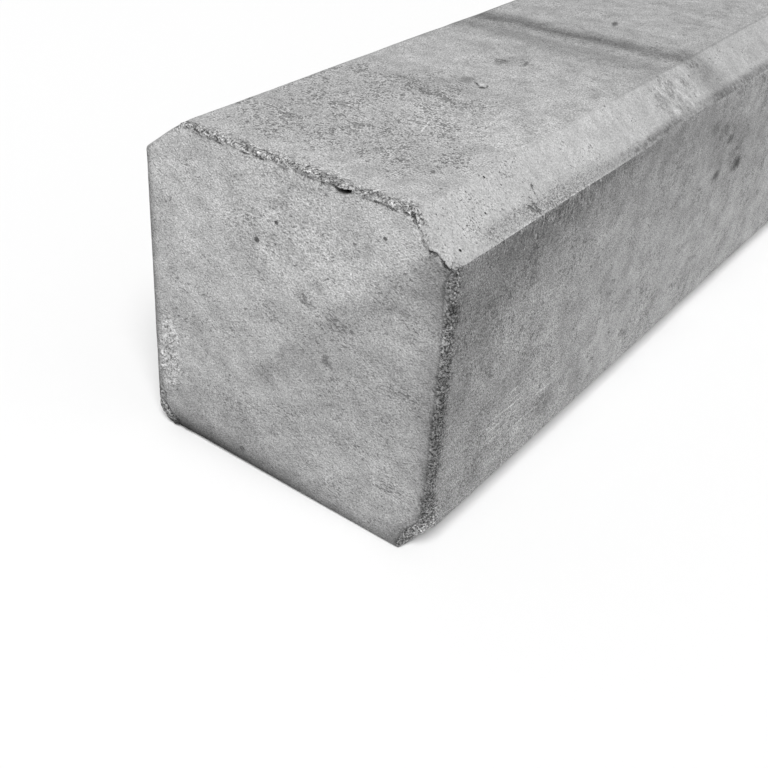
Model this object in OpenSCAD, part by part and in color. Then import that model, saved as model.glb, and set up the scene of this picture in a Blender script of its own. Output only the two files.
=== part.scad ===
// Precast concrete fence post, lying on the face that was trowelled when it was cast.
// X runs across the post, Y along it and Z up. The origin is in the middle of the face it lies on.
// All sizes are in millimetres.

/* [Post] */
// Length from end to end
post_length = 1800; // [1200:50:3000]
// Width across the two side faces
post_width = 100; // [80:1:150]
// Height from the trowelled face up to the mould face
post_height = 100; // [80:1:150]

/* [Chamfers of the mould face] */
// How far each chamfer reaches across the mould face
mould_chamfer_across = 13.5; // [6:0.5:22]
// How far each chamfer reaches down the side face
mould_chamfer_down = 10.5; // [6:0.5:22]

/* [Edges of the trowelled face] */
// How far the right edge reaches across the trowelled face
right_edge_across = 8; // [3:0.5:16]
// How far the right edge reaches up the side face
right_edge_up = 10; // [3:0.5:16]
// How far the left edge reaches across the trowelled face
left_edge_across = 5.5; // [3:0.5:16]
// How far the left edge reaches up the side face
left_edge_up = 5; // [3:0.5:16]

/* [Ends] */
// Bevel of the arris round each end
end_arris = 2; // [0.5:0.1:4]

/* [Hollows across the mould face] */
// Distance from the near end to the deep hollow
deep_hollow_at = 146; // [60:1:400]
// Width of the deep hollow along the post
deep_hollow_width = 22; // [8:1:40]
// Depth of the deep hollow
deep_hollow_depth = 0.7; // [0.2:0.1:2]
// Distance from the near end to the faint hollow
faint_hollow_at = 126; // [40:1:400]
// Width of the faint hollow along the post
faint_hollow_width = 9; // [4:1:20]
// Depth of the faint hollow
faint_hollow_depth = 0.3; // [0.1:0.1:1]

/* [Spall in the near end's upper arris] */
// Distance of the spall to the right of the middle
spall_from_middle = 17; // [-30:1:30]
// Width of the spall along the arris
spall_width = 7; // [3:0.5:14]
// How deep the spall bites into the arris
spall_depth = 1.4; // [0.5:0.1:3]

/* [Hidden] */

// Smoothness of the round cutters
$fn = 96;
// How far a cutter runs past what it cuts
overrun = 5;

half_width = post_width / 2;
near_end = -post_length / 2;

// Corners of the cross-section as [x, z], anticlockwise from the left of the trowelled face
section = [
    [-half_width + left_edge_across, 0],
    [half_width - right_edge_across, 0],
    [half_width, right_edge_up],
    [half_width, post_height - mould_chamfer_down],
    [half_width - mould_chamfer_across, post_height],
    [-half_width + mould_chamfer_across, post_height],
    [-half_width, post_height - mould_chamfer_down],
    [-half_width, left_edge_up]
];

// Radius of the round cutter that leaves a hollow this wide and this deep
function cutter_radius(width, depth) = (width * width / 4 + depth * depth) / (2 * depth);

// Turns an outline drawn as [x, z] into a bar along the post, centred on its length
module lengthwise(run) {
    rotate([90, 0, 0])
        linear_extrude(run, center = true)
            children();
}

// The section run from end to end, with its arris bevelled all round both ends
module bevelled_bar() {
    hull() {
        lengthwise(post_length - 2 * end_arris) polygon(section);
        lengthwise(post_length) offset(delta = -end_arris) polygon(section);
    }
}

// Shallow round hollow across the mould face, which runs out in the chamfers
module hollow_cutter(from_end, width, depth) {
    radius = cutter_radius(width, depth);
    translate([0, near_end + from_end, post_height - depth + radius])
        rotate([0, 90, 0])
            cylinder(r = radius, h = post_width + 2 * overrun, center = true);
}

// Round bite out of the arris between the near end and the mould face, square to its bevel
module spall_cutter() {
    radius = cutter_radius(spall_width, spall_depth);
    bevel_middle = end_arris / 2;
    rise = (radius - spall_depth) * sin(45);
    translate([
        spall_from_middle,
        near_end + bevel_middle - rise,
        post_height - bevel_middle + rise
    ])
        sphere(r = radius);
}

// The post, cast in one piece
module post() {
    color("darkgray")
        difference() {
            bevelled_bar();
            hollow_cutter(deep_hollow_at, deep_hollow_width, deep_hollow_depth);
            hollow_cutter(faint_hollow_at, faint_hollow_width, faint_hollow_depth);
            spall_cutter();
        }
}

post();
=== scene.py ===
import math

import bpy
import numpy as np
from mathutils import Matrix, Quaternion, Vector, noise


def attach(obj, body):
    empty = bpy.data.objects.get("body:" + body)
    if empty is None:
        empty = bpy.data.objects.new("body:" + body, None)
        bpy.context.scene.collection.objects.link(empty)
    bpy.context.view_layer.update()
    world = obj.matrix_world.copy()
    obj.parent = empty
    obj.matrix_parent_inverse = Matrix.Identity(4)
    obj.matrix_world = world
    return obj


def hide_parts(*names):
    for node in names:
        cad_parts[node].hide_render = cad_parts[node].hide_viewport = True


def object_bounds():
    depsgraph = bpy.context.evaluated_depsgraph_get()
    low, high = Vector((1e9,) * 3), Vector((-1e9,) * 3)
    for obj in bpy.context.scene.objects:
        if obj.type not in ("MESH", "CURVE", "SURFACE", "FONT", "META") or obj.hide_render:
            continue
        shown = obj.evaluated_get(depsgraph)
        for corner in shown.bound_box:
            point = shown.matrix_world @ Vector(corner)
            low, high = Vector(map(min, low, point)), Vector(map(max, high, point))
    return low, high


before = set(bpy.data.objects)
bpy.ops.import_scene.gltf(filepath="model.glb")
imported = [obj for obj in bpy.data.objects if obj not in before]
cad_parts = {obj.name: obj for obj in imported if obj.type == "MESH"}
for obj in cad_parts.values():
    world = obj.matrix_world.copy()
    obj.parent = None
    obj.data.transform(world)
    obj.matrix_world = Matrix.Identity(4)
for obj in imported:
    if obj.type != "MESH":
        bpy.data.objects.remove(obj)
cad_low, cad_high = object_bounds()

# View. The camera leans over the near end of the lying post, from its right, close enough that
# the far end leaves the picture. It is level but for a slight roll, and has no shift.
camera_lens = 52.4  # mm on a 36 mm sensor
camera_azimuth = math.radians(33.4)
camera_elevation = math.radians(34.3)
camera_roll = math.radians(4.8)
camera_from_near_end = Vector((0.1606, -0.1941, 0.2095))

near_end = cad_low.y
far_end = cad_high.y
camera_data = bpy.data.cameras.new("camera")
camera_data.lens = camera_lens
camera_data.sensor_width = 36.0
camera_data.clip_start = 0.01
camera = bpy.data.objects.new("camera", camera_data)
camera.location = camera_from_near_end + Vector((0.0, near_end, 0.0))
looks_back = Vector((
    math.sin(camera_azimuth) * math.cos(camera_elevation),
    -math.cos(camera_azimuth) * math.cos(camera_elevation),
    math.sin(camera_elevation),
))
camera.rotation_mode = "QUATERNION"
level_turn = (-looks_back).to_track_quat("-Z", "Y")
camera.rotation_quaternion = level_turn @ Quaternion((0.0, 0.0, 1.0), camera_roll)
bpy.context.scene.collection.objects.link(camera)
bpy.context.scene.camera = camera
bpy.context.scene.view_settings.view_transform = "Standard"


# Floor and light. A plain pale floor, a broad soft light from above the camera's right shoulder,
# and a white surround that fills the shadows, as in a product studio.
floor_half_side = 8.0
floor_tone = 0.86
key_light_strength = 3.15
key_light_spread = math.radians(28.0)
key_light_from = Vector((0.35, -0.46, 0.81))
surround_strength = 0.36

floor_mesh = bpy.data.meshes.new("floor")
floor_corners = [
    (-floor_half_side, -floor_half_side, 0.0),
    (floor_half_side, -floor_half_side, 0.0),
    (floor_half_side, floor_half_side, 0.0),
    (-floor_half_side, floor_half_side, 0.0),
]
floor_mesh.from_pydata(floor_corners, [], [(0, 1, 2, 3)])
floor = bpy.data.objects.new("floor", floor_mesh)
floor_paint = bpy.data.materials.new("floor_paint")
floor_paint.use_nodes = True
floor_shader = floor_paint.node_tree.nodes["Principled BSDF"]
floor_shader.inputs["Base Color"].default_value = (floor_tone, floor_tone, floor_tone, 1.0)
floor_shader.inputs["Roughness"].default_value = 0.9
floor_mesh.materials.append(floor_paint)
bpy.context.scene.collection.objects.link(floor)

surround = bpy.data.worlds.new("surround")
surround.use_nodes = True
surround.node_tree.nodes["Background"].inputs["Color"].default_value = (1.0, 1.0, 1.0, 1.0)
surround.node_tree.nodes["Background"].inputs["Strength"].default_value = surround_strength
bpy.context.scene.world = surround

key_light_data = bpy.data.lights.new("key_light", "SUN")
key_light_data.energy = key_light_strength
key_light_data.angle = key_light_spread
key_light = bpy.data.objects.new("key_light", key_light_data)
key_light.rotation_mode = "QUATERNION"
key_light.rotation_quaternion = (-key_light_from).to_track_quat("-Z", "Y")
bpy.context.scene.collection.objects.link(key_light)


# Cast bar. One length of concrete, poured into an open mould and lying on the face that was trowelled.
# Its skin is a row of rings round the section, from the middle of the near end out over the arris,
# along the post, and over the far arris to the middle of the far end.
half_width = (cad_high.x - cad_low.x) / 2
post_height = cad_high.z - cad_low.z
post_length = far_end - near_end
mould_chamfer_across = 0.0135
mould_chamfer_down = 0.0105
right_edge_across = 0.008
right_edge_up = 0.010
left_edge_across = 0.0055
left_edge_up = 0.005

# Corners of the section as x, z, anticlockwise from the left of the trowelled face.
section = np.array([
    (-half_width + left_edge_across, 0.0),
    (half_width - right_edge_across, 0.0),
    (half_width, right_edge_up),
    (half_width, post_height - mould_chamfer_down),
    (half_width - mould_chamfer_across, post_height),
    (-half_width + mould_chamfer_across, post_height),
    (-half_width, post_height - mould_chamfer_down),
    (-half_width, left_edge_up),
])
TROWELLED, RIGHT_EDGE, RIGHT_SIDE, RIGHT_CHAMFER, MOULD, LEFT_CHAMFER, LEFT_SIDE, LEFT_EDGE = range(8)
section_middle = np.array((0.0, post_height / 2))
face_steps = np.array([176, 24, 176, 40, 176, 40, 176, 16])
edge_softness = np.array([0.5, 0.7, 1.4, 0.9, 0.8, 0.5, 0.5, 0.6]) * 0.001
crowding = 0.3  # how much closer the points lie near an edge

face_runs = np.roll(section, -1, axis=0) - section
face_lengths = np.linalg.norm(face_runs, axis=1)
face_directions = face_runs / face_lengths[:, None]
rail = []
for face in range(len(section)):
    share = np.arange(face_steps[face]) / face_steps[face]
    share = share - crowding * np.sin(2 * np.pi * share) / (2 * np.pi)
    points = section[face] + share[:, None] * face_runs[face]
    next_corner = (face + 1) % len(section)
    for corner, distance in ((face, share), (next_corner, 1 - share)):
        reach = edge_softness[corner]
        pull = np.clip(reach - distance * face_lengths[face], 0, None) ** 2 / (4 * reach)
        inward = face_directions[corner] - face_directions[corner - 1]
        points = points + pull[:, None] * inward
    rail.append(points)
rail = np.concatenate(rail)
rail_face = np.repeat(np.arange(len(section)), face_steps)
# The trowelled face's arris is rounded more towards its left.
trowelled_taper = np.interp(rail[:, 0], [-0.0445, -0.036, 0.042], [1.1, 1.4, 0.5])
trowelled_taper = np.where(rail_face == TROWELLED, trowelled_taper, 1.0)


def round_the_rail(face_values, blend=10):
    """One value for each point of the rail from one value for each face, run together at the edges."""
    stepped = np.repeat(np.array(face_values, float), face_steps) * trowelled_taper
    weights = np.hanning(2 * blend + 3)[1:-1]
    wrapped = np.concatenate([stepped[-blend:], stepped, stepped[:blend]])
    return np.convolve(wrapped, weights / weights.sum(), "valid")


# How far the arris of each end is rounded, in the order of the section's faces.
near_rounding = round_the_rail([3.0, 1.0, 2.6, 3.0, 0.9, 1.4, 2.2, 0.6]) * 0.001
# The lower right corner of the near end is broken away further.
low_right_rounding = 0.0042
low_right = np.isin(rail_face, (RIGHT_SIDE, RIGHT_EDGE)) * np.interp(
    rail[:, 1], [0.0005, 0.004, 0.010, 0.024], [0.0, 1.0, 1.0, 0.0])
near_rounding = near_rounding + low_right_rounding * low_right
far_rounding = round_the_rail([3.0, 3.0, 3.0, 1.6, 1.2, 1.6, 3.0, 3.0]) * 0.001

# Rings: start, stop and step of the way from the sharp arris, which is negative on the end face and
# positive along the post, and how many of the rail's points there are to each one they use.
near_rings = [
    (-0.0485, -0.034, 0.0030, 8),
    (-0.034, -0.017, 0.0017, 4),
    (-0.017, -0.008, 0.0009, 2),
    (-0.008, -0.005, 0.0006, 1),
    (-0.005, 0.005, 0.00036, 1),
    (0.005, 0.008, 0.0006, 1),
    (0.008, 0.040, 0.0011, 2),
    (0.040, 0.260, 0.0028, 4),
    (0.260, post_length - 0.020, 0.0180, 8),
]
far_rings = [
    (-0.0485, -0.030, 0.0030, 8),
    (-0.030, -0.008, 0.0020, 4),
    (-0.008, 0.006, 0.0009, 2),
    (0.006, 0.020, 0.0014, 4),
]


def ring_rows(rows, far):
    """The way, the thinning and the end of each ring of these rows."""
    return [
        (way, thinning, far)
        for start, stop, step, thinning in rows
        for way in np.linspace(start, stop, round((stop - start) / step), endpoint=False)
    ]


rings = ring_rows(near_rings, False) + ring_rows(far_rings, True)[::-1]

skin_points = []
skin_way = []
skin_far = []
skin_rail = []
ring_starts = []
for way, thinning, far in rings:
    chosen = np.arange(0, len(rail), thinning)
    rounding = (far_rounding if far else near_rounding)[chosen]
    worn = np.clip(rounding - abs(way), 0, None) ** 2 / (4 * rounding)
    inset = max(-way, 0.0) + worn
    depth = max(way, 0.0) + worn
    across = section_middle + (rail[chosen] - section_middle) * (1 - inset / half_width)[:, None]
    along = far_end - depth if far else near_end + depth
    ring_starts.append(sum(len(points) for points in skin_points))
    skin_points.append(np.column_stack([across[:, 0], along, across[:, 1]]))
    skin_way.append(np.full(len(chosen), way))
    skin_far.append(np.full(len(chosen), far))
    skin_rail.append(chosen)
skin_points.append(np.array([
    (section_middle[0], near_end, section_middle[1]),
    (section_middle[0], far_end, section_middle[1]),
]))
skin_way.append(np.full(2, -half_width))
skin_far.append(np.array([False, True]))
skin_rail.append(np.zeros(2, int))
skin_points = np.concatenate(skin_points)
skin_way = np.concatenate(skin_way)
skin_far = np.concatenate(skin_far)
skin_rail = np.concatenate(skin_rail)
near_middle = len(skin_points) - 2
far_middle = len(skin_points) - 1

skin_faces = []
face_stations = []
face_rails = []


def add_face(corners, way, rail_point):
    """Keeps one face of the skin, facing outwards, with its way from the arris and its place on the rail."""
    skin_faces.append(corners[::-1])
    face_stations.append(way)
    face_rails.append(rail_point % len(rail))


for index in range(len(rings) - 1):
    way, thinning, _ = rings[index]
    next_way, next_thinning, _ = rings[index + 1]
    here = ring_starts[index]
    there = ring_starts[index + 1]
    count = len(rail) // thinning
    next_count = len(rail) // next_thinning
    middle_way = (way + next_way) / 2
    if count == next_count:
        for i in range(count):
            j = (i + 1) % count
            add_face((here + i, here + j, there + j, there + i), middle_way, i * thinning)
    elif count > next_count:
        for i in range(next_count):
            j = (i + 1) % next_count
            left, middle, right = here + 2 * i, here + 2 * i + 1, here + (2 * i + 2) % count
            add_face((left, middle, there + i), middle_way, i * next_thinning)
            add_face((middle, there + j, there + i), middle_way, i * next_thinning)
            add_face((middle, right, there + j), middle_way, i * next_thinning)
    else:
        for i in range(count):
            j = (i + 1) % count
            left, middle, right = there + 2 * i, there + 2 * i + 1, there + (2 * i + 2) % next_count
            add_face((here + i, middle, left), middle_way, i * thinning)
            add_face((here + i, here + j, middle), middle_way, i * thinning)
            add_face((here + j, right, middle), middle_way, i * thinning)
first_count = len(rail) // rings[0][1]
for i in range(first_count):
    j = (i + 1) % first_count
    add_face((near_middle, ring_starts[0] + j, ring_starts[0] + i), rings[0][0], i * rings[0][1])
last_count = len(rail) // rings[-1][1]
for i in range(last_count):
    j = (i + 1) % last_count
    add_face((ring_starts[-1] + i, ring_starts[-1] + j, far_middle), rings[-1][0], i * rings[-1][1])

post_mesh = bpy.data.meshes.new("fence_post")
post_mesh.from_pydata(skin_points.tolist(), [], skin_faces)
post_mesh.update()
skin_normals = np.zeros(len(skin_points) * 3)
post_mesh.vertex_normals.foreach_get("vector", skin_normals)
skin_normals = skin_normals.reshape(-1, 3)


# Relief of the casting. The faces are not quite flat, and the mould's joint left shallow hollows across
# the mould face, a raised patch on the right chamfer and a slightly wavy chamfer edge.
def lumps(points, feature, octaves=3, draw=0):
    """Smooth noise from about -1 to 1 whose lumps are this large, another one for each draw."""
    shift = Vector((3.7 * draw, 1.9 * draw, 5.3 * draw))
    return np.array([noise.fractal(Vector(p) / feature + shift, 1.0, 2.0, octaves) for p in points])


def hump(values, middle, half):
    """A smooth hump from 0 at middle - half up to 1 and down to 0 at middle + half."""
    return np.clip(1 - ((values - middle) / half) ** 2, 0, None) ** 2


def ramp(values, start, stop):
    """A smooth step from 0 at start to 1 at stop."""
    share = np.clip((values - start) / (stop - start), 0, 1)
    return share * share * (3 - 2 * share)


across = skin_points[:, 0]
height = skin_points[:, 2]
from_near = skin_points[:, 1] - near_end
on_face = rail_face[skin_rail]
on_sides = skin_way > 0
clear_of_floor = ramp(height, 0.002, 0.02)

waviness = 0.00018 * lumps(skin_points, 0.09, 2, 1)
waviness += 0.00010 * lumps(skin_points, 0.018, 3, 2)
relief = waviness * clear_of_floor

deep_hollow_at = 0.146
deep_hollow_half = 0.014
deep_hollow_depth = 0.0002
faint_hollow_at = 0.126
faint_hollow_half = 0.006
faint_hollow_depth = 0.00015
hollow_skew = 0.13  # how far the hollows run on for each metre across
in_mould = ramp(half_width - mould_chamfer_across - abs(across), -0.005, 0.004) * (on_sides & ~skin_far)
in_mould *= height > post_height / 2
skewed = from_near - hollow_skew * across
relief -= in_mould * deep_hollow_depth * hump(skewed, deep_hollow_at, deep_hollow_half)
relief -= in_mould * faint_hollow_depth * hump(skewed, faint_hollow_at, faint_hollow_half)

patch_at = 0.135
patch_half = 0.034
patch_rise = 0.0006
step_rise = 0.0004
on_right_chamfer = on_sides & (on_face == RIGHT_CHAMFER) & ~skin_far
down_chamfer = (post_height - height) / mould_chamfer_down
patch = on_right_chamfer * hump(from_near, patch_at, patch_half) * ramp(down_chamfer, 0.1, 1.0)
patch *= 1 + 0.5 * lumps(skin_points, 0.005, 2, 3)
skin_points = skin_points + skin_normals * relief[:, None]
skin_points[:, 2] += patch_rise * patch
# The chamfer's lower edge stands a little high near the end, and again from the joint on.
chamfer_step = ramp(from_near, 0.100, 0.125) * (1 - ramp(from_near, 0.35, 0.60))
near_lift = np.interp(
    from_near, [0.0, 0.006, 0.015, 0.050, 0.075, 0.110], [0.7, 0.6, 0.45, 0.4, 0.15, 0.0]) * 0.001
near_lift *= (on_face == RIGHT_CHAMFER) & ~skin_far & (skin_way > -0.006)
near_lift *= ramp(skin_way, -0.005, 0.0)
skin_points[:, 2] += near_lift * ramp(down_chamfer, 0.0, 1.0)
skin_points[:, 2] += step_rise * chamfer_step * on_right_chamfer * ramp(down_chamfer, 0.0, 1.0)


# Broken arrises. Where the mould's end plates met the other boards the arris came away rough, with sand
# grains and holes showing. It is worst down the right of the near end and round the lower corners.
def by_corner(corner, reach):
    """A soft round patch of the rail about one corner of the section."""
    return np.exp(-(np.linalg.norm(rail - section[corner], axis=1) / reach) ** 2)


near_break = round_the_rail([0.1, 1.0, 1.0, 0.2, 0.95, 0.1, 0.0, 0.9], 14)
near_break_on_end = round_the_rail([0.8, 1.4, 2.2, 0.8, 0.6, 0.6, 0.5, 2.6], 14) * 0.001
near_break_on_side = round_the_rail([1.0, 4.6, 2.6, 1.0, 3.3, 1.0, 0.5, 2.8], 14) * 0.001
near_relief = round_the_rail([0.5, 1.0, 0.5, 0.6, 1.0, 0.5, 0.5, 0.9], 14)
# At some corners and at the top of the band down the right the break reaches further.
upper_right = by_corner(MOULD, 0.0045)
band_top = (rail_face == RIGHT_SIDE) * ramp(rail[:, 1], 0.074, 0.084)
upper_left = by_corner(LEFT_CHAMFER, 0.0035)
band_head = by_corner(RIGHT_CHAMFER, 0.0022)
near_break = np.maximum.reduce([near_break, upper_right, upper_left, band_head])
near_break_on_end = near_break_on_end + 0.0014 * upper_right + 0.0009 * band_top + 0.0006 * upper_left
near_break_on_side = near_break_on_side + 0.0022 * low_right + 0.0014 * upper_right
near_break_on_side = near_break_on_side + 0.0010 * upper_left + 0.0008 * band_head
# The lumps at the two lower corners end on the end face in a line, this far in from the sharp arris.
right_strip = (rail_face == RIGHT_EDGE) | ((rail_face == RIGHT_SIDE) & (rail[:, 1] < 0.0140))
right_line = np.interp(
    rail[:, 1], [0.0, 0.0033, 0.0071, 0.0106, 0.0132], [1.9, 2.8, 2.9, 2.7, 2.0]) * 0.001
left_strip = (rail_face == LEFT_EDGE) | ((rail_face == LEFT_SIDE) & (rail[:, 1] < 0.0125))
left_strip = left_strip | ((rail_face == TROWELLED) & (rail[:, 0] < -0.038))
left_line = np.interp(rail[:, 1], [0.0, 0.003, 0.005, 0.0082, 0.0117], [3.7, 3.1, 3.5, 4.0, 0.9]) * 0.001
lower_line = np.interp(rail[:, 0], [-0.0444, -0.041, -0.038], [3.8, 1.5, 0.3]) * 0.001
left_line = np.where(rail_face == TROWELLED, lower_line, left_line)
strip = left_strip | right_strip
strip_line = np.where(left_strip, left_line, right_line)
near_break = np.where(strip, 1.0, near_break)
near_break_on_end = np.where(strip, strip_line, near_break_on_end)
near_relief = np.where(right_strip, 1.0, np.where(left_strip, 0.6, near_relief))
# Dirt lies in the rough band down the right of the near end, least at its top, and beside the lumps at the
# lower right.
near_soil = np.interp(rail[:, 1], [0.014, 0.019, 0.040, 0.062, 0.080], [0.40, 0.54, 0.52, 0.40, 0.10])
near_soil = np.where(left_strip, 0.2, near_soil * (rail_face == RIGHT_SIDE))
near_soil = np.maximum(near_soil, 0.45 * band_head)
near_soil_reach = np.where(left_strip, 0.0050, 0.0026)
far_break = round_the_rail([0.2, 0.7, 0.6, 0.4, 0.5, 0.4, 0.6, 0.7], 14)
far_break_reach = round_the_rail([1.0, 2.2, 2.0, 1.2, 1.6, 1.2, 2.0, 2.2], 14) * 0.001
grain_size = 0.0017
grain_rise = 0.0007
grain_dome = 0.8  # share of the grain size over which a grain is domed
break_recess = 0.0003
arris_band = 0.012

break_strength = np.where(skin_far, far_break[skin_rail], near_break[skin_rail])
near_reach = np.where(skin_way < 0, near_break_on_end[skin_rail], near_break_on_side[skin_rail])
break_reach = np.where(skin_far, far_break_reach[skin_rail], near_reach)
# Seams are thin dark lines on the end face, this far in from the sharp arris and this dark; along the lip
# the line is painted shadow under the lip.
seam_and_shadow_at = near_break_on_end
seam_and_shadow_dark = np.where(right_strip, 0.45, np.where(left_strip, 0.70, 0.30 * (rail_face == RIGHT_SIDE)))
broken = np.zeros(len(skin_points))
# This darkening is dirt in the rough band, and painted shade between grains, under the lip and in the
# flake's gap.
dirt_and_shade = np.zeros(len(skin_points))
band = np.flatnonzero(abs(skin_way) < arris_band)
band_points = skin_points[band]
band_rail = skin_rail[band]
band_way = skin_way[band]
at_line = strip[band_rail] & (band_way < 0) & ~skin_far[band]
ragged = 1 + np.where(at_line, 0.12, 0.6) * lumps(band_points, 0.004, 3, 4)
share_of_reach = abs(band_way) / (break_reach[band] * ragged)
within = 1 - np.where(at_line, ramp(share_of_reach, 0.85, 1.1), ramp(share_of_reach, 0.5, 1.3))
broken[band] = break_strength[band] * within

grain_cap = np.zeros(len(band))
grain_level = np.zeros(len(band))
for i, point in enumerate(band_points):
    distances, centres = noise.voronoi(Vector(point) / grain_size)
    grain_cap[i] = math.sqrt(max(0.0, 1 - (distances[0] / grain_dome) ** 2))
    grain_level[i] = 0.35 + 0.65 * noise.cell(centres[0] * 7.1)
grains = grain_cap * np.clip(grain_level, 0, 1)
band_relief = broken[band] * (grain_rise * (grains - 0.5) - break_recess) * near_relief[band_rail]
soil = near_soil[band_rail] * (1 - ramp(abs(band_way) / (near_soil_reach[band_rail] * ragged), 0.5, 1.5))
past_line = -band_way - strip_line[band_rail]
soil_beside = 0.38 * ramp(past_line, 0.0030, 0.0) * ramp(past_line, -0.0004, 0.0)
soil = np.where(right_strip[band_rail], soil_beside, soil)
# The lumps at the lower right are clean and light, below a dark line where the band ends.
strip_height = rail[band_rail, 1] + 2.4 * np.clip(-band_way, 0, 0.002)
strip_height = strip_height + 0.0012 * lumps(band_points, 0.003, 2, 12)
on_right = np.isin(rail_face[band_rail], (RIGHT_SIDE, RIGHT_EDGE))
clean = on_right * ramp(strip_height, 0.0178, 0.0166) * ramp(rail[band_rail, 1], 0.002, 0.008)
clean = clean * ramp(past_line, 0.0, -0.0006)
soil = soil * np.where(band_way > -0.002, 1 - clean, 1)
soil = np.maximum(soil, 0.65 * on_right * hump(strip_height, 0.0182, 0.0014) * broken[band])
# Painted shade darkens the hollows between the grains.
grain_gap_shade = 0.6 * broken[band] * np.clip(1 - grains / 0.35, 0, 1)
dirt_and_shade[band] = np.where(skin_far[band], grain_gap_shade, np.maximum(soil, grain_gap_shade) - 0.15 * clean * broken[band])
skin_points[band] += skin_normals[band] * band_relief[:, None]

# A thin flaky crust of mortar stuck to the left of the near end.
crust_at = Vector((-0.0440, 0.0, 0.0255))
crust_half_width = 0.0050
crust_half_height = 0.0165
crust_rise = 0.0006
crust_share = np.hypot((across - crust_at.x) / crust_half_width, (height - crust_at.z) / crust_half_height)
crust = np.flatnonzero(~skin_far & (skin_way < 0) & (crust_share < 1.3))
crust_flakes = ramp(lumps(skin_points[crust], 0.0022, 3, 8), -0.15, 0.15)
skin_points[crust, 1] -= crust_rise * crust_flakes * (1 - ramp(crust_share[crust], 0.6, 1.1))


# Lip. Mortar that was squeezed between the end plate and the mould's bottom stands as a thin ragged lip
# along the upper arris of the near end, over painted shadow. One flake of it hangs over a gap,
# painted black as the shade in it.
lip_forward = 0.0008
lip_rise = 0.0006
lip_half_width = 0.0375
flake_at = 0.0163
flake_half = 0.0055
flake_forward = 0.0009
gap_middle = 0.1011
gap_radius = 0.0033
gap_lift = 0.0010
gap_depth = 0.0026
lip_band = 0.006
lip_above = 0.085
crack_depth = 0.0004

at_lip = ~skin_far & (abs(skin_way) < lip_band) & (height > lip_above)
lip = np.flatnonzero(at_lip & (abs(across) < lip_half_width + 0.004))
lip_way = skin_way[lip]
lip_across = across[lip]
lip_line = np.column_stack([lip_across, np.zeros(len(lip)), np.zeros(len(lip))])
lip_edge = 0.55 + 0.6 * lumps(lip_line, 0.0045, 3, 5) + 0.35 * lumps(lip_line, 0.0013, 2, 6)
lip_edge = np.clip(lip_edge, 0.0, 1.4) * ramp(lip_half_width + 0.003 - abs(lip_across), 0.0, 0.004)
lip_edge *= on_face[lip] == MOULD
in_flake = hump(lip_across, flake_at, flake_half)
stands_out = ramp(lip_way, -0.0011, -0.0003) * (1 - ramp(lip_way, 0.0006, 0.0030))
stands_up = ramp(lip_way, -0.0006, 0.0006) * (1 - ramp(lip_way, 0.0014, 0.0042))
skin_points[lip, 1] -= stands_out * (lip_forward * lip_edge + flake_forward * in_flake)
skin_points[lip, 2] += stands_up * lip_rise * lip_edge
# Painted shadow darkens the end face under the lip's overhang.
shadow_under_lip = hump(lip_way, -0.0009, 0.0005) * np.clip(lip_edge - 0.2, 0, 1)
dirt_and_shade[lip] = np.maximum(dirt_and_shade[lip], 0.5 * shadow_under_lip)

gap_drop = height[lip] - gap_middle
lower_round = np.hypot(lip_across - flake_at, gap_drop) / gap_radius
upper_round = np.hypot(lip_across - flake_at, gap_drop - gap_lift) / gap_radius
in_gap = (1 - ramp(lower_round, 0.92, 1.10)) * ramp(upper_round, 0.90, 1.08) * (lip_way < -0.0002)
skin_points[lip, 1] += gap_depth * in_gap
# The gap is painted black as the shade in it.
dirt_and_shade[lip] = np.maximum(dirt_and_shade[lip], 1.25 * in_gap)

# The chamfer's skin rolls over the end at the upper right corner and stops there in a crack.
chip_share = np.clip((half_width - rail[:, 0]) / mould_chamfer_across, 0, 1)
chip = np.interp(chip_share, [0.0, 0.09, 0.30, 0.55, 0.83, 1.0], [1.2, 1.7, 2.3, 2.7, 1.2, 0.3]) * 0.001
chip_rail = rail[:, [0, 1, 1]]
chip_edge = 0.22 * lumps(chip_rail, 0.002, 2, 7) + 0.12 * lumps(chip_rail, 0.0010, 1, 13)
chip *= (rail_face == RIGHT_CHAMFER) * (1 + chip_edge)
crack = 1 - ramp(abs(skin_way + chip[skin_rail] + 0.0001), 0.0001, 0.0005)
crack *= (chip[skin_rail] > 0.0004) & ~skin_far
skin_points[:, 1] += crack_depth * crack
lip_rail = rail[:, [0, 0, 0]] * (1.0, 0.0, 0.0)
on_lip = (rail_face == MOULD) & (abs(rail[:, 0]) < lip_half_width)
seam_and_shadow_at = np.where(rail_face == RIGHT_CHAMFER, chip, seam_and_shadow_at)
# Along the lip the seam is the painted shadow under the lip.
seam_and_shadow_at = np.where(on_lip, 0.0012 + 0.0006 * lumps(lip_rail, 0.006, 3, 10), seam_and_shadow_at)
crack_dark = np.clip(0.75 + 1.2 * lumps(chip_rail, 0.0022, 3, 9), 0, 1)
crack_dark = crack_dark * (1 - 0.9 * hump(chip_share, 0.655, 0.08))
seam_and_shadow_dark = np.where(rail_face == RIGHT_CHAMFER, crack_dark, seam_and_shadow_dark)
seam_and_shadow_dark = np.where(on_lip, np.clip(0.40 + 1.3 * lumps(lip_rail, 0.0032, 3, 11), 0.05, 0.88), seam_and_shadow_dark)
seam_and_shadow = np.where(skin_far | (seam_and_shadow_dark[skin_rail] == 0), 1.0, skin_way + seam_and_shadow_at[skin_rail])

post_mesh.vertices.foreach_set("co", skin_points.astype(np.float32).ravel())
skin_values = {"broken": broken, "dirt_and_shade": dirt_and_shade, "seam_and_shadow": seam_and_shadow, "seam_and_shadow_dark": seam_and_shadow_dark[skin_rail]}
for name, values in skin_values.items():
    attribute = post_mesh.attributes.new(name, "FLOAT", "POINT")
    attribute.data.foreach_set("value", values.astype(np.float32))
post_mesh.polygons.foreach_set("use_smooth", np.ones(len(skin_faces), bool))


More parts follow.
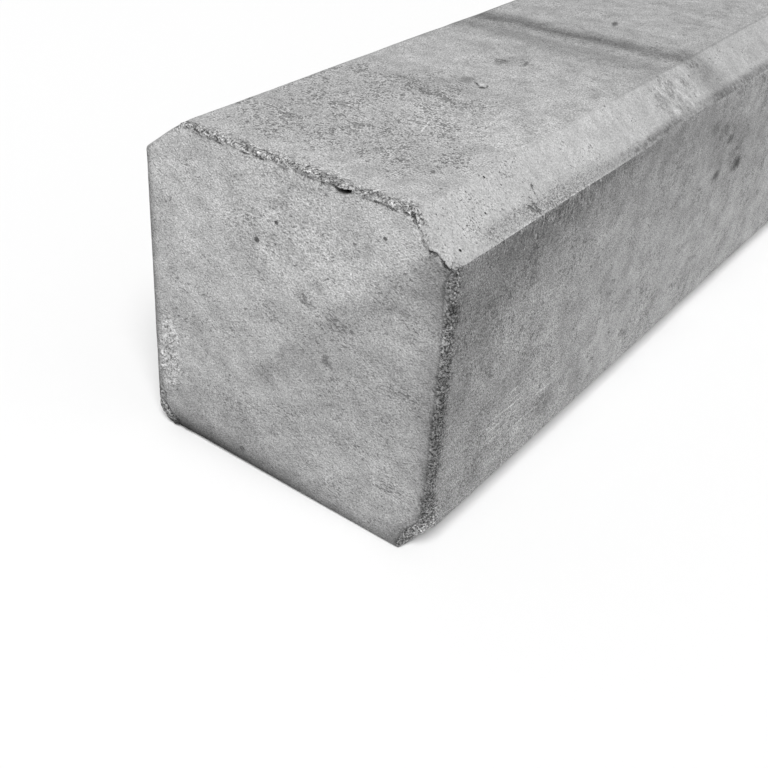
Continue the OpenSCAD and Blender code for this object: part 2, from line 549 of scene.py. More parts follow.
# End faces. Concrete cast against the mould's end plates: fine sandy skin, mottled aslant, with a dark
# smear down from the upper right and a few open pinholes.
def place(tree, kind, inputs, **settings):
    """Adds a shader node whose inputs are set to values or joined to other nodes' outputs."""
    node = tree.nodes.new("ShaderNode" + kind)
    for name, value in settings.items():
        setattr(node, name, value)
    for name, value in inputs.items():
        if isinstance(value, bpy.types.NodeSocket):
            tree.links.new(value, node.inputs[name])
        else:
            node.inputs[name].default_value = value
    return node


def maths(operation, *values):
    """Adds one step of arithmetic to the node tree of the outputs among its values."""
    tree = next(value.id_data for value in values if isinstance(value, bpy.types.NodeSocket))
    return place(tree, "Math", dict(enumerate(values)), operation=operation).outputs[0]


def vector_maths(operation, first, second):
    """Adds one step of arithmetic with vectors."""
    return place(first.id_data, "VectorMath", {0: first, 1: second}, operation=operation).outputs[0]


def product(first, *others):
    """Multiplies masks or factors, which for masks leaves where all of them are."""
    for value in others:
        first = maths("MULTIPLY", first, value)
    return first


def smooth(value, start, stop):
    """Adds a smooth step from 0 at start to 1 at stop."""
    ends = {"Value": value, "From Min": start, "From Max": stop}
    return place(value.id_data, "MapRange", ends, interpolation_type="SMOOTHSTEP").outputs[0]


def swing(value, strength):
    """Turns noise about a half into a factor about one."""
    return maths("MULTIPLY_ADD", maths("SUBTRACT", value, 0.5), strength, 1.0)


def cloud(point, scale, detail, roughness=0.5, output=0):
    """Adds noise about a half, with this many lumps to a metre."""
    inputs = {"Vector": point, "Scale": scale, "Detail": detail, "Roughness": roughness}
    return place(point.id_data, "TexNoise", inputs).outputs[output]


def split(vector):
    """Takes a vector apart into its three numbers."""
    return place(vector.id_data, "SeparateXYZ", {"Vector": vector}).outputs


def stretch(point, scale, turn=(0.0, 0.0, 0.0)):
    """Adds a turned and scaled copy of the place, on which noise is drawn out."""
    return place(point.id_data, "Mapping", {"Vector": point, "Rotation": turn, "Scale": scale}).outputs[0]


def share_of_reach_from(point, centre, reach, turn=(0.0, 0.0, 0.0)):
    """Adds the distance from a centre as a share of the reach, which may differ on each axis."""
    inputs = {"Vector": point, "Location": centre, "Rotation": turn, "Scale": reach}
    local = place(point.id_data, "Mapping", inputs, vector_type="TEXTURE").outputs[0]
    return place(point.id_data, "VectorMath", {0: local}, operation="LENGTH").outputs["Value"]


def effect_group(name, inputs, outputs):
    """Starts a node group with these inputs, each a vector or a number, and these number outputs."""
    group = bpy.data.node_groups.new(name, "ShaderNodeTree")
    for socket, value in inputs.items():
        kind = "NodeSocketVector" if isinstance(value, tuple) else "NodeSocketFloat"
        group.interface.new_socket(socket, in_out="INPUT", socket_type=kind).default_value = value
    for socket in outputs:
        group.interface.new_socket(socket, in_out="OUTPUT", socket_type="NodeSocketFloat")
    given = group.nodes.new("NodeGroupInput").outputs
    wanted = group.nodes.new("NodeGroupOutput").inputs
    return group, given, wanted


def apply_effect(group, point, **inputs):
    """Uses a node group at a place and returns its outputs."""
    named = {name.capitalize(): value for name, value in inputs.items()}
    named["Point"] = point
    return place(point.id_data, "Group", named, node_tree=group).outputs


def dim(tone, mask, amount):
    """Darkens the tone where the mask is, or lightens it if the amount is negative."""
    return maths("MULTIPLY_ADD", maths("MULTIPLY", mask, -amount), tone, tone)


def mark(tone, group, point, dark, **inputs):
    """Darkens the tone by a node group's mask, or lightens it if dark is negative."""
    return dim(tone, apply_effect(group, point, **inputs)["Mask"], dark)


origin = (0.0, 0.0, 0.0)
usual_reach = (0.01, 0.01, 0.01)

sand, given, wanted = effect_group(
    "sand", {"Point": origin, "Size": 0.02, "Strength": 1.0, "Grit": 1.0}, ["Tone", "Height"])
sand_noise = cloud(given["Point"], maths("DIVIDE", 1.0, given["Size"]), 5.0, 0.92)
grit_noise = cloud(given["Point"], 2300.0, 1.0, 0.7)
sand_tone = product(swing(sand_noise, given["Strength"]), swing(grit_noise, given["Grit"]))
sand.links.new(sand_tone, wanted["Tone"])
sand.links.new(maths("MULTIPLY_ADD", grit_noise, 0.12, sand_noise), wanted["Height"])

flecks, given, wanted = effect_group(
    "flecks", {"Point": origin, "Size": 0.001, "Amount": 0.3, "Clustering": 0.42}, ["Mask"])
fleck_noise = cloud(given["Point"], maths("DIVIDE", 1.0, given["Size"]), 2.5, 0.7)
cluster_noise = cloud(given["Point"], 110.0, 2.0, 0.6)
fleck_bar = maths("MULTIPLY_ADD", maths("SUBTRACT", 0.5, cluster_noise), given["Clustering"], 0.65)
fleck_bar = maths("MULTIPLY_ADD", given["Amount"], -0.13, fleck_bar)
flecks.links.new(smooth(maths("SUBTRACT", fleck_noise, fleck_bar), -0.01, 0.04), wanted["Mask"])

# Pinholes: dark discs painted as the shade in small holes, with no relief of their own.
pinholes, given, wanted = effect_group(
    "pinholes", {"Point": origin, "Spacing": 0.009, "Radius": 0.06, "Share": 0.5}, ["Mask"])
hole_places = {"Vector": given["Point"], "Scale": maths("DIVIDE", 1.0, given["Spacing"])}
hole_cells = place(pinholes, "TexVoronoi", hole_places).outputs
hole_chance = place(pinholes, "SeparateColor", {"Color": hole_cells["Color"]}).outputs
hole_kept = maths("LESS_THAN", hole_chance[0], given["Share"])
hole_reach = maths("MULTIPLY", given["Radius"], maths("ADD", 0.4, hole_chance[1]))
hole_share = maths("DIVIDE", hole_cells["Distance"], hole_reach)
pinholes.links.new(product(hole_kept, smooth(hole_share, 1.0, 0.6)), wanted["Mask"])

spot, given, wanted = effect_group(
    "spot", {"Point": origin, "Centre": origin, "Reach": usual_reach}, ["Mask"])
spot_share = share_of_reach_from(given["Point"], given["Centre"], given["Reach"])
spot.links.new(smooth(spot_share, 1.0, 0.6), wanted["Mask"])

stain, given, wanted = effect_group("stain", {
    "Point": origin, "Centre": origin, "Reach": usual_reach, "Turn": origin,
    "Wander": 0.01, "Wandersize": 0.012}, ["Mask"])
wander_noise = cloud(given["Point"], maths("DIVIDE", 1.0, given["Wandersize"]), 3.0, 0.6, "Color")
wander_step = vector_maths("SUBTRACT", wander_noise, (0.5, 0.5, 0.5))
wandered = vector_maths("ADD", given["Point"], vector_maths("MULTIPLY", wander_step, given["Wander"]))
stain_share = share_of_reach_from(wandered, given["Centre"], given["Reach"], given["Turn"])
stain.links.new(smooth(stain_share, 1.0, 0.2), wanted["Mask"])

crescent, given, wanted = effect_group(
    "crescent", {"Point": origin, "Centre": origin, "Shift": origin, "Reach": usual_reach}, ["Mask"])
shifted_centre = vector_maths("ADD", given["Centre"], given["Shift"])
round_share = share_of_reach_from(given["Point"], given["Centre"], given["Reach"])
shifted_share = share_of_reach_from(given["Point"], shifted_centre, given["Reach"])
crescent_mask = product(smooth(round_share, 1.08, 0.94), smooth(shifted_share, 0.92, 1.06))
crescent.links.new(crescent_mask, wanted["Mask"])

broken_arris, given, wanted = effect_group("broken_arris", {"Point": origin}, ["Tone", "Height"])
on_skin = {
    name: place(broken_arris, "Attribute", {}, attribute_name=name).outputs["Fac"]
    for name in ("broken", "dirt_and_shade", "seam_and_shadow", "seam_and_shadow_dark")
}
crumb_noise = cloud(given["Point"], 1700.0, 2.0, 0.75)
crumb_tone = maths("MULTIPLY", maths("SUBTRACT", crumb_noise, 0.49), 6.4)
# Painted shade in the gaps between crumbs and in small holes.
crumb_places = {"Vector": given["Point"], "Scale": 850.0}
crumb_cells = place(broken_arris, "TexVoronoi", crumb_places, feature="DISTANCE_TO_EDGE").outputs
crumb_gap_shade = smooth(crumb_cells["Distance"], 0.12, 0.02)
crumb_holes = apply_effect(pinholes, given["Point"], spacing=0.0036, radius=0.17, share=0.42)["Mask"]
crumb_gap_shade = maths("MAXIMUM", crumb_gap_shade, maths("MULTIPLY", crumb_holes, 2.2))
crumb_tone = maths("MULTIPLY_ADD", crumb_gap_shade, -0.45, crumb_tone)
crumb_factor = maths("MULTIPLY_ADD", crumb_tone, on_skin["broken"], 1.0)
crumb_factor = maths("MINIMUM", maths("MAXIMUM", crumb_factor, 0.15), 1.55)
# The skin's dirt and painted shade darken the arris.
arris_tone = product(crumb_factor, maths("MULTIPLY_ADD", on_skin["dirt_and_shade"], -0.85, 1.0))
# Dark seam lines, painted shadow along the lip, with a light rim beside them.
seam_and_shadow_wobble = maths("MULTIPLY_ADD", maths("SUBTRACT", crumb_noise, 0.5), 0.0022, on_skin["seam_and_shadow"])
seam_and_shadow_line = smooth(maths("ABSOLUTE", seam_and_shadow_wobble), 0.00048, 0.00012)
seam_rim = smooth(maths("ABSOLUTE", maths("SUBTRACT", seam_and_shadow_wobble, 0.0009)), 0.0006, 0.0002)
arris_tone = dim(arris_tone, product(seam_rim, on_skin["seam_and_shadow_dark"]), -0.24)
arris_tone = dim(arris_tone, product(seam_and_shadow_line, on_skin["seam_and_shadow_dark"]), 0.9)
broken_arris.links.new(maths("MAXIMUM", arris_tone, 0.03), wanted["Tone"])
broken_arris.links.new(maths("MULTIPLY", crumb_noise, on_skin["broken"]), wanted["Height"])


def start_concrete(name):
    """Starts a concrete material and gives it with the place on the post, y from the near end."""
    material = bpy.data.materials.new(name)
    material.use_nodes = True
    object_point = place(material.node_tree, "TexCoord", {}).outputs["Object"]
    return material, vector_maths("ADD", object_point, (0.0, -near_end, 0.0))


def finish_concrete(point, tone, sand_height, rise):
    """Breaks the arrises and joins the tone and the small relief to the material's shader."""
    tree = point.id_data
    arris = apply_effect(broken_arris, point)
    height = maths("MULTIPLY_ADD", arris["Height"], 0.3, sand_height)
    bump = place(tree, "Bump", {"Height": height, "Distance": rise, "Strength": 1.0})
    shader = tree.nodes["Principled BSDF"]
    shader.inputs["Roughness"].default_value = 0.9
    shader.inputs["Specular IOR Level"].default_value = 0.25
    tree.links.new(product(tone, arris["Tone"]), shader.inputs["Base Color"])
    tree.links.new(bump.outputs[0], shader.inputs["Normal"])


end_tone = 0.430
end_slant = (0.0, math.radians(38.0), 0.0)
end_material, point = start_concrete("end_concrete")
axes = split(point)
end_sand = apply_effect(
    sand, stretch(point, (0.75, 1.0, 1.1), end_slant), size=0.011, strength=1.85, grit=2.0)
tone = maths("MULTIPLY", end_sand["Tone"], end_tone)
# The face is darker towards its foot, most of all at the left.
tone = dim(tone, smooth(axes["Z"], 0.090, 0.030), 0.14)
low_left = maths("MULTIPLY_ADD", smooth(axes["X"], 0.025, -0.015), 0.6, 0.4)
tone = dim(tone, product(smooth(axes["Z"], 0.028, 0.007), low_left), 0.19)
# A step in the tone runs down aslant from the upper right corner, with a smear along it.
step_start = (0.04225, 0.0, 0.09025)
step_turn = (0.0, math.radians(-46.2), 0.0)
step_inputs = {"Vector": point, "Location": step_start, "Rotation": step_turn}
step_place = place(point.id_data, "Mapping", step_inputs, vector_type="TEXTURE").outputs[0]
step_wobble = maths("SUBTRACT", 0.5, cloud(point, 110.0, 4.0, 0.8))
below_step = maths("MULTIPLY_ADD", step_wobble, 0.018, maths("MULTIPLY", split(step_place)["Z"], -1.0))
step_mask = product(
    smooth(below_step, -0.0035, 0.0015), smooth(axes["Z"], 0.012, 0.050), smooth(axes["Y"], 0.9, 0.8))
tone = dim(tone, step_mask, 0.17)
smear = product(step_mask, smooth(below_step, 0.009, 0.001))
tone = dim(tone, smear, 0.06)
# Dirt in the upper right corner and low on the left.
tone = mark(tone, stain, point, 0.22, centre=(0.045, 0.0, 0.083), reach=(0.012, 0.1, 0.012), wander=0.008)
tone = mark(tone, stain, point, 0.10, centre=(-0.018, 0.0, 0.018), reach=(0.014, 0.1, 0.009), wander=0.012)
# Pits, painted dark as the shade in them, and dark spots: x, z, half width, half height and darkness.
for x, z, half_wide, half_high, dark in (
        (-0.0100, 0.0763, 0.00110, 0.00110, 0.78),
        (-0.0035, 0.0833, 0.00077, 0.00066, 0.80),
        (0.0296, 0.0906, 0.00077, 0.00066, 0.75),
        (0.0210, 0.0860, 0.00077, 0.00055, 0.35),
        (-0.0140, 0.0540, 0.00066, 0.00066, 0.45),
        (0.0329, 0.0178, 0.00077, 0.00066, 0.50),
        (-0.0152, 0.0059, 0.00132, 0.00099, 0.45),
        (0.0366, 0.0734, 0.00132, 0.00132, 0.20),
        (-0.0220, 0.0325, 0.00055, 0.00055, 0.35)):
    tone = mark(tone, spot, point, dark, centre=(x, 0.0, z), reach=(half_wide, 0.02, half_high))
# Smudges, which have uncertain edges: x, z, half width, half height and darkness.
for x, z, half_wide, half_high, dark in (
        (0.0141, 0.0493, 0.0024, 0.0024, 0.50),
        (0.0162, 0.0450, 0.0016, 0.0016, 0.45),
        (0.0060, 0.0652, 0.0040, 0.0018, 0.40)):
    tone = mark(
        tone, stain, point, dark, centre=(x, 0.0, z), reach=(half_wide, 0.1, half_high),
        turn=end_slant, wander=0.0080, wandersize=0.0018)
streaky = stretch(point, (0.55, 1.0, 1.15), end_slant)
tone = mark(tone, flecks, streaky, 0.46, size=0.0008, amount=maths("MULTIPLY_ADD", smear, 0.25, 0.35))
# Painted shade along the left arris, the right arris and the lower edge, where the rounded arrises turn from
# the light.
tone = dim(tone, product(smooth(axes["X"], -0.0458, -0.0500), smooth(axes["Z"], 0.008, 0.018)), 0.60)
tone = dim(tone, smooth(axes["X"], 0.0400, 0.0500), 0.28)
painted_underside_shade = maths("POWER", smooth(axes["Z"], 0.0120, 0.0), 1.3)
left_more = maths("MULTIPLY_ADD", smooth(axes["X"], 0.040, -0.035), 0.75, 0.25)
painted_underside_shade = product(painted_underside_shade, left_more, smooth(axes["X"], -0.046, -0.041))
tone = dim(tone, painted_underside_shade, 0.97)
tone = dim(tone, smooth(axes["Z"], 0.0045, 0.0005), 0.40)
# The crust is light, with painted shade in the gaps between its flakes.
crust_mask = apply_effect(
    stain, point, centre=tuple(crust_at), reach=(crust_half_width, 0.1, crust_half_height),
    turn=(0.0, math.radians(6.0), 0.0), wander=0.006, wandersize=0.004)["Mask"]
crust_noise = cloud(stretch(point, (1.3, 1.0, 0.8)), 1200.0, 3.0, 0.75)
tone = dim(tone, smooth(crust_mask, 0.05, 0.35), -0.42)
tone = dim(tone, product(smooth(crust_noise, 0.50, 0.40), smooth(crust_mask, 0.05, 0.4)), 0.66)
# The gap under the lip's flake is painted black as the shade in it.
tone = mark(
    tone, crescent, point, 0.97, centre=(flake_at, 0.0, gap_middle), shift=(0.0004, 0.0, gap_lift),
    reach=(gap_radius, 1.0, gap_radius))
finish_concrete(point, tone, end_sand["Height"], 0.0012)


# Mould face and chamfers. Concrete cast against the bottom of the mould and its two fillets: the smoothest
# faces, with dark specks near the end, a dark band across and chamfers lightened as painted light.
def on_mould_face(x, y, half_wide, half_long):
    """The centre and reach of a mark on the mould face or a chamfer."""
    return {"centre": (x, y, post_height), "reach": (half_wide, half_long, 0.1)}


mould_tone = 0.438
chamfer_painted_light = 0.04
chamfer_from = half_width - mould_chamfer_across
mould_material, point = start_concrete("mould_concrete")
axes = split(point)
from_middle = maths("ABSOLUTE", axes["X"])
on_chamfer = smooth(from_middle, chamfer_from - 0.001, chamfer_from)
off_chamfer = maths("SUBTRACT", 1.0, on_chamfer)
mould_sand = apply_effect(
    sand, point, size=0.009, strength=maths("MULTIPLY_ADD", on_chamfer, -0.65, 1.75),
    grit=maths("MULTIPLY_ADD", on_chamfer, -1.1, 2.3))
tone = maths("MULTIPLY", mould_sand["Tone"], mould_tone)
# The chamfers are lightened as painted light, except where they roll over the end, where painted shade
# darkens them, and all is darker further along.
tone = dim(tone, on_chamfer, -chamfer_painted_light)
tone = dim(tone, product(on_chamfer, smooth(axes["Y"], 0.0045, 0.0005)), 0.12)
tone = dim(tone, smooth(axes["Y"], 0.080, 0.130), 0.14)

# Specks crowd in three patches: x, y, half width, half length and wander.
speckled, speckled_right, speckled_back = [
    apply_effect(stain, point, **on_mould_face(x, y, half_wide, half_long), wander=wander)["Mask"]
    for x, y, half_wide, half_long, wander in (
        (-0.013, 0.042, 0.058, 0.050, 0.03),
        (0.022, 0.028, 0.013, 0.026, 0.02),
        (-0.004, 0.073, 0.022, 0.019, 0.02))
]
speckled = smooth(maths("MAXIMUM", speckled, speckled_right), 0.08, 0.60)
speck_amount = maths("MULTIPLY_ADD", speckled, 0.95, -0.15)
speck_amount = maths("MULTIPLY_ADD", speckled_back, 0.40, speck_amount)
tone = mark(tone, flecks, point, 0.42, size=0.0012, amount=speck_amount, clustering=0.42)
tone = mark(tone, flecks, point, 0.36, size=0.0006, amount=speck_amount, clustering=0.40)
# Faint shades, which have uncertain edges: x, y, half width, half length and darkness.
for x, y, half_wide, half_long, dark in (
        (-0.010, 0.0760, 0.050, 0.0150, 0.11),
        (0.010, 0.0540, 0.045, 0.0160, -0.11)):
    shade = apply_effect(stain, point, **on_mould_face(x, y, half_wide, half_long), wander=0.02)["Mask"]
    tone = dim(tone, product(shade, off_chamfer), dark)
# One long light scratch.
tone = mark(
    tone, stain, point, -0.42, **on_mould_face(0.0096, 0.0440, 0.0004, 0.0105),
    turn=(0.0, 0.0, math.radians(19.0)), wander=0.0006)

# A dark band runs across, with a faint one on its near side. Both run askew.
band_noise = cloud(point, 60.0, 2.0)
skewed_along = maths("MULTIPLY_ADD", axes["X"], -hollow_skew, axes["Y"])
band_along = maths("MULTIPLY_ADD", maths("SUBTRACT", band_noise, 0.5), 0.007, skewed_along)
band_along = maths("MULTIPLY_ADD", on_chamfer, -0.005, band_along)
band_mask = product(smooth(band_along, 0.139, 0.149), smooth(band_along, 0.162, 0.148))
band_mask = product(
    maths("POWER", band_mask, 1.5), maths("MULTIPLY_ADD", on_chamfer, -0.75, 1.0),
    swing(smooth(axes["X"], 0.015, 0.036), -0.4))
tone = dim(tone, band_mask, 0.48)
faint_along = maths("MULTIPLY_ADD", axes["X"], 0.07, band_along)
faint_mask = product(smooth(faint_along, 0.123, 0.134), smooth(faint_along, 0.146, 0.134), off_chamfer)
tone = dim(tone, faint_mask, 0.27)
# Smudges, which have uncertain edges: x, y, half width, half length and darkness.
for x, y, half_wide, half_long, dark in (
        (-0.0042, 0.1055, 0.0030, 0.0042, 0.46),
        (0.0024, 0.1090, 0.0022, 0.0034, 0.54),
        (0.0000, 0.1120, 0.0022, 0.0030, 0.25),
        (-0.0010, 0.1080, 0.0075, 0.0085, 0.10),
        (-0.0020, 0.0842, 0.0035, 0.0056, 0.42),
        (0.0390, 0.0367, 0.0010, 0.0012, 0.50),
        (0.0441, 0.0417, 0.0011, 0.0014, 0.75),
        (0.0479, 0.0387, 0.0016, 0.0017, 0.75),
        (0.0470, 0.0365, 0.0012, 0.0012, 0.55)):
    tone = mark(
        tone, stain, point, dark, **on_mould_face(x, y, half_wide, half_long),
        wander=0.010, wandersize=0.0018)
# Pits of the right chamfer, painted dark as the shade in them: x, y, half width, half length and darkness.
for x, y, half_wide, half_long, dark in (
        (0.0374, 0.0292, 0.0004, 0.0004, 0.95),
        (0.0436, 0.0208, 0.0003, 0.0004, 0.95),
        (0.0404, 0.0328, 0.0003, 0.0003, 0.85),
        (0.0437, 0.0190, 0.0002, 0.0002, 0.80),
        (0.0472, 0.0047, 0.0004, 0.0005, 0.97)):
    tone = mark(tone, spot, point, dark, **on_mould_face(x, y, half_wide, half_long))
# Strokes of light and shadow round a small flake that stands up, and a nick past the dark band:
# x, y, half length, half width, turn in degrees and darkness.
for x, y, half_long, half_wide, turn, dark in (
        (0.0027, 0.0835, 0.0022, 0.0013, -35.0, -0.34),
        (0.0017, 0.0826, 0.0029, 0.0006, -42.4, 0.72),
        (0.0044, 0.0812, 0.0018, 0.0012, 35.0, 0.85),
        (0.0049, 0.0831, 0.0015, 0.0006, 111.0, 0.70),
        (0.0024, 0.1710, 0.0048, 0.0015, 108.0, 0.66)):
    tone = mark(
        tone, stain, point, dark, **on_mould_face(x, y, half_long, half_wide),
        turn=(0.0, 0.0, math.radians(turn)), wander=0.0007, wandersize=0.0018)
# The chamfer's lower edge is flecked with dirt near the end and dark further on, and its arris is bright.
edge_noise = cloud(point, 800.0, 2.0, 0.7)
near_edge = product(
    smooth(axes["X"], 0.0440, 0.0474), smooth(axes["Y"], 0.004, 0.020), smooth(axes["Y"], 0.115, 0.060))
tone = dim(tone, near_edge, 0.09)
at_joint = product(smooth(axes["Y"], 0.124, 0.134), smooth(axes["Y"], 0.158, 0.148))
dark_edge = product(
    smooth(axes["X"], 0.0468, 0.0489), smooth(axes["Y"], 0.055, 0.105), smooth(axes["Y"], 0.320, 0.150),
    swing(band_noise, 0.8), maths("MULTIPLY_ADD", at_joint, -0.45, 1.0), swing(edge_noise, 2.4))
tone = dim(tone, dark_edge, 0.48)
edge_amount = maths("MULTIPLY", near_edge, 1.2)
edge_flecks = apply_effect(flecks, point, size=0.00042, amount=edge_amount, clustering=0.25)["Mask"]
tone = dim(tone, product(edge_flecks, near_edge), 0.50)
edge_rim = product(
    smooth(axes["X"], 0.0493, 0.0497), smooth(axes["Y"], 0.140, 0.110),
    smooth(edge_noise, 0.30, 0.55), smooth(axes["Y"], 0.008, 0.028))
tone = dim(tone, edge_rim, -0.34)
chamfer_flecks = apply_effect(flecks, point, size=0.0006, amount=0.5, clustering=0.30)["Mask"]
tone = dim(tone, product(chamfer_flecks, on_chamfer, smooth(axes["Y"], 0.085, 0.045)), 0.36)
# A thin line runs along each chamfer's upper edge, darker further on.
off_line = maths("ABSOLUTE", maths("SUBTRACT", from_middle, 0.0363))
line_dark = maths("MULTIPLY_ADD", smooth(axes["Y"], 0.080, 0.130), 0.14, 0.06)
tone = dim(tone, product(smooth(off_line, 0.0006, 0.0002), line_dark), 1.0)
# Where the joint crosses the right chamfer the skin is crusty, with dirt past the crust.
crusty = apply_effect(
    stain, point, centre=(0.043, 0.134, 0.095), reach=(0.012, 0.024, 0.1), wander=0.012)["Mask"]
crusty_noise = cloud(stretch(point, (0.75, 1.0, 0.75)), 380.0, 5.0, 0.7)
crusty_tone = maths("MULTIPLY", maths("SUBTRACT", crusty_noise, 0.47), 2.0)
tone = product(tone, maths("MULTIPLY_ADD", crusty_tone, crusty, 1.0))
past_crust = apply_effect(
    stain, point, centre=(0.043, 0.158, 0.095), reach=(0.016, 0.014, 0.1), wander=0.010)["Mask"]
tone = dim(tone, product(past_crust, swing(crusty_noise, 2.5)), 0.27)
# Scuffs on the crust: x, y, half width, half length and darkness.
scuffed_skin = smooth(edge_noise, 0.40, 0.58)
for x, y, half_wide, half_long, dark in (
        (0.0430, 0.1230, 0.0080, 0.0040, 0.36),
        (0.0415, 0.1318, 0.0090, 0.0048, 0.42),
        (0.0415, 0.1425, 0.0030, 0.0032, 0.38),
        (0.0388, 0.1535, 0.0026, 0.0052, 0.40)):
    scuff = apply_effect(
        stain, point, centre=(x, y, 0.095), reach=(half_wide, half_long, 0.1),
        wander=0.012, wandersize=0.0024)["Mask"]
    tone = dim(tone, product(scuff, scuffed_skin), dark)
tone = mark(tone, pinholes, point, 0.45, spacing=0.008, radius=0.06, share=0.4)
finish_concrete(point, tone, mould_sand["Height"], 0.0010)


# Sides. Concrete cast against the mould's side boards, which scuffed it lengthwise when they were drawn off.
# Their tone is set darker than the other faces' as painted shade, darker still by the near end and under the
# chamfers.
shaded_side_tone = 0.349
side_material, point = start_concrete("side_concrete")
axes = split(point)
near_grit = maths("MULTIPLY_ADD", smooth(axes["Y"], 0.110, 0.050), 0.9, 2.4)
side_sand = apply_effect(sand, point, size=0.012, strength=1.65, grit=near_grit)
tone = maths("MULTIPLY", side_sand["Tone"], shaded_side_tone)
# The side is darker towards the near end.
tone = dim(tone, smooth(axes["Y"], 0.090, -0.005), 0.17)
tone = dim(tone, smooth(axes["Y"], 0.022, 0.006), 0.05)
# Broad shades: where each starts and is full along the post, the same up the side, and its darkness.
for start_y, full_y, start_z, full_z, dark in (
        (0.040, -0.002, 0.020, 0.070, 0.18),
        (0.190, 0.120, 0.066, 0.086, 0.24),
        (0.025, 0.060, 0.025, 0.065, 0.09),
        (0.100, 0.030, 0.078, 0.089, 0.12)):
    tone = dim(tone, product(smooth(axes["Y"], start_y, full_y), smooth(axes["Z"], start_z, full_z)), dark)
sooty = apply_effect(
    stain, point, centre=(half_width, 0.023, 0.079), reach=(0.2, 0.062, 0.034), wander=0.03)["Mask"]
tone = dim(tone, sooty, 0.13)
# The upper corner of the near end is clean, and past it a thin shade lies under the chamfer.
tone = mark(
    tone, stain, point, -0.60, centre=(half_width, 0.0, 0.090), reach=(0.2, 0.026, 0.020), wander=0.006)
thin_shade = product(
    smooth(axes["Z"], 0.0862, 0.0880), smooth(axes["Y"], 0.058, 0.076), smooth(axes["Y"], 0.125, 0.100))
tone = dim(tone, thin_shade, 0.18)
# Faint upright streaks, a broad smear further along, and dirt low down by the near end.
tone = product(tone, swing(cloud(stretch(point, (1.0, 1.0, 0.12)), 120.0, 2.0), 0.12))
tone = mark(
    tone, stain, point, 0.21, centre=(half_width, 0.178, 0.071), reach=(0.1, 0.044, 0.015),
    turn=(math.radians(-23.0), 0.0, 0.0), wander=0.03)
tone = mark(
    tone, stain, point, 0.30, centre=(half_width, 0.060, 0.0225), reach=(0.1, 0.014, 0.008), wander=0.006)
# Fine light scuffs lengthwise, most of all in one patch.
scuffed = apply_effect(
    stain, point, centre=(half_width, 0.045, 0.028), reach=(0.1, 0.030, 0.016), wander=0.02)["Mask"]
scuffed = maths("MULTIPLY_ADD", smooth(axes["Y"], 0.090, 0.050), 0.30, scuffed)
scuff_noise = cloud(stretch(point, (1.0, 0.05, 1.0)), 900.0, 2.0)
tone = dim(tone, product(smooth(scuff_noise, 0.58, 0.68), scuffed), -0.50)
# Upright light and dark ticks under the chamfer.
upright = stretch(point, (1.0, 1.0, 0.42))
ticked = apply_effect(
    stain, point, centre=(half_width, 0.052, 0.0880), reach=(0.1, 0.052, 0.0085), wander=0.008)["Mask"]
tone = dim(tone, product(smooth(cloud(upright, 640.0, 3.0, 0.7), 0.53, 0.64), ticked), -0.80)
tick_flecks = apply_effect(flecks, upright, size=0.0008, amount=1.1, clustering=0.2)["Mask"]
tone = dim(tone, product(tick_flecks, ticked), 0.40)
# Light scratches near the end: y, z, half length, half height and turn in degrees.
for y, z, half_long, half_high, turn in (
        (0.0052, 0.0429, 0.0030, 0.0004, 0.0),
        (0.0097, 0.0366, 0.0014, 0.0005, 27.0)):
    tone = mark(
        tone, stain, point, -0.55, centre=(half_width, y, z), reach=(0.02, half_long, half_high),
        turn=(math.radians(turn), 0.0, 0.0), wander=0.0006)
# Dark spots with uncertain edges: y, z, half length, half height and darkness.
for y, z, half_long, half_high, dark in (
        (0.0945, 0.0483, 0.00168, 0.00096, 0.45),
        (0.1012, 0.0270, 0.00144, 0.00096, 0.40),
        (0.1117, 0.0223, 0.00144, 0.00108, 0.40),
        (0.1580, 0.0790, 0.00480, 0.00360, 0.32),
        (0.1690, 0.0760, 0.00360, 0.00288, 0.32),
        (0.1703, 0.0587, 0.00528, 0.00312, 0.56),
        (0.1760, 0.0708, 0.00480, 0.00264, 0.50),
        (0.1905, 0.0573, 0.00600, 0.00432, 0.76)):
    tone = mark(
        tone, stain, point, dark, centre=(half_width, y, z), reach=(0.02, half_long, half_high),
        wander=0.006, wandersize=0.002)
# A small flake of mortar stands off the right side, with a shadow under it.
tone = mark(
    tone, crescent, point, 0.40, centre=(half_width, 0.0242, 0.0502), shift=(0.0, 0.0008, 0.0008),
    reach=(1.0, 0.0018, 0.0018))
tone = mark(tone, spot, point, -0.40, centre=(half_width, 0.0256, 0.0516), reach=(1.0, 0.0012, 0.0009))
tone = mark(tone, pinholes, point, 0.42, spacing=0.007, radius=0.08, share=0.55)
tone = mark(tone, flecks, point, 0.45, size=0.0009, amount=maths("MULTIPLY_ADD", sooty, 0.45, 0.40))
finish_concrete(point, tone, side_sand["Height"], 0.0012)


# Trowelled face. The top of the pour, struck off and floated by hand, so it is coarser than the cast faces.
# The post lies on it.
trowelled_tone = 0.36
trowelled_material, point = start_concrete("trowelled_concrete")
trowelled_sand = apply_effect(sand, point, size=0.014, strength=2.2, grit=1.0)
tone = maths("MULTIPLY", trowelled_sand["Tone"], trowelled_tone)
tone = mark(tone, pinholes, point, 0.40, spacing=0.006, radius=0.10, share=0.5)
finish_concrete(point, tone, trowelled_sand["Height"], 0.0016)


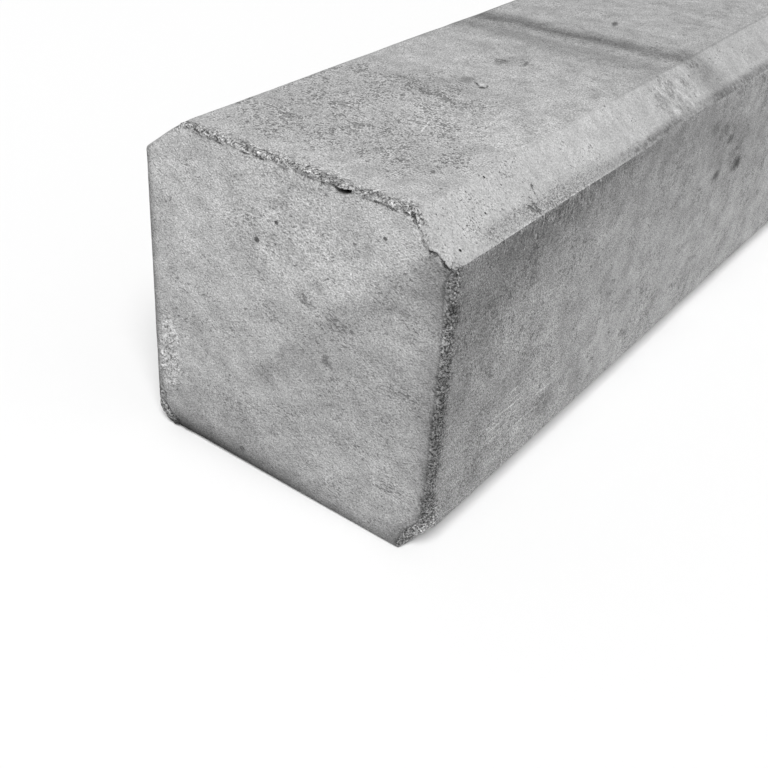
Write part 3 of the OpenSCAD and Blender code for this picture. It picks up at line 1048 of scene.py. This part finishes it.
# Whole post. One casting, so one piece: each part of the skin takes the finish of the board it was cast
# against, and the skin stands in for the plain bar.
for material in (end_material, mould_material, side_material, trowelled_material):
    post_mesh.materials.append(material)
finish_of_face = {
    TROWELLED: 3, RIGHT_EDGE: 3, RIGHT_SIDE: 2, RIGHT_CHAMFER: 1,
    MOULD: 1, LEFT_CHAMFER: 1, LEFT_SIDE: 2, LEFT_EDGE: 3,
}
finishes = [
    0 if station < -chip[place_on_rail] else finish_of_face[rail_face[place_on_rail]]
    for station, place_on_rail in zip(face_stations, face_rails)
]
post_mesh.polygons.foreach_set("material_index", finishes)

# The skin is unrolled for baking: strips for the sides, with more room near the near end, and a square for
# each end. A strip is given by the two heights on the sheet that it runs between and the two places along
# the post.
sheet_margin = 0.01
strip_width = 0.70
near_strip = (0.50, 0.02, 0.0, 0.26)
far_strip = (0.98, 0.52, 0.26, post_length)
end_half = 0.12
near_square = np.array((0.86, 0.20))
far_square = np.array((-0.86, 0.60))
rail_steps = np.linalg.norm(np.roll(rail, -1, axis=0) - rail, axis=1)
rail_share = np.concatenate([[0.0], np.cumsum(rail_steps)]) / rail_steps.sum()
sheet_points = []
for corners, station, place_on_rail in zip(skin_faces, face_stations, face_rails):
    on_far = skin_far[list(corners)].any()
    for corner in corners:
        turn = skin_rail[corner]
        if station < 0:
            shrunk = (rail[turn] - section_middle) * max(1 + skin_way[corner] / half_width, 0.0) / half_width
            on_sheet = (far_square if on_far else near_square) + end_half * shrunk
            sheet_points.append((abs(on_sheet[0]), on_sheet[1]))
            continue
        along = post_length - skin_way[corner] if skin_far[corner] else max(skin_way[corner], 0.0)
        share = 1.0 if turn < place_on_rail else rail_share[turn]
        start_v, stop_v, start, stop = near_strip if station < near_strip[3] and not on_far else far_strip
        up_the_sheet = start_v + (stop_v - start_v) * (along - start) / (stop - start)
        sheet_points.append((sheet_margin + strip_width * share, up_the_sheet))
sheet = post_mesh.uv_layers.new(name="OFBake")
sheet.data.foreach_set("uv", np.array(sheet_points, np.float32).ravel())
post_mesh.update()
fence_post = bpy.data.objects.new("fence_post", post_mesh)
bpy.context.scene.collection.objects.link(fence_post)
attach(fence_post, "root")
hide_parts("post")
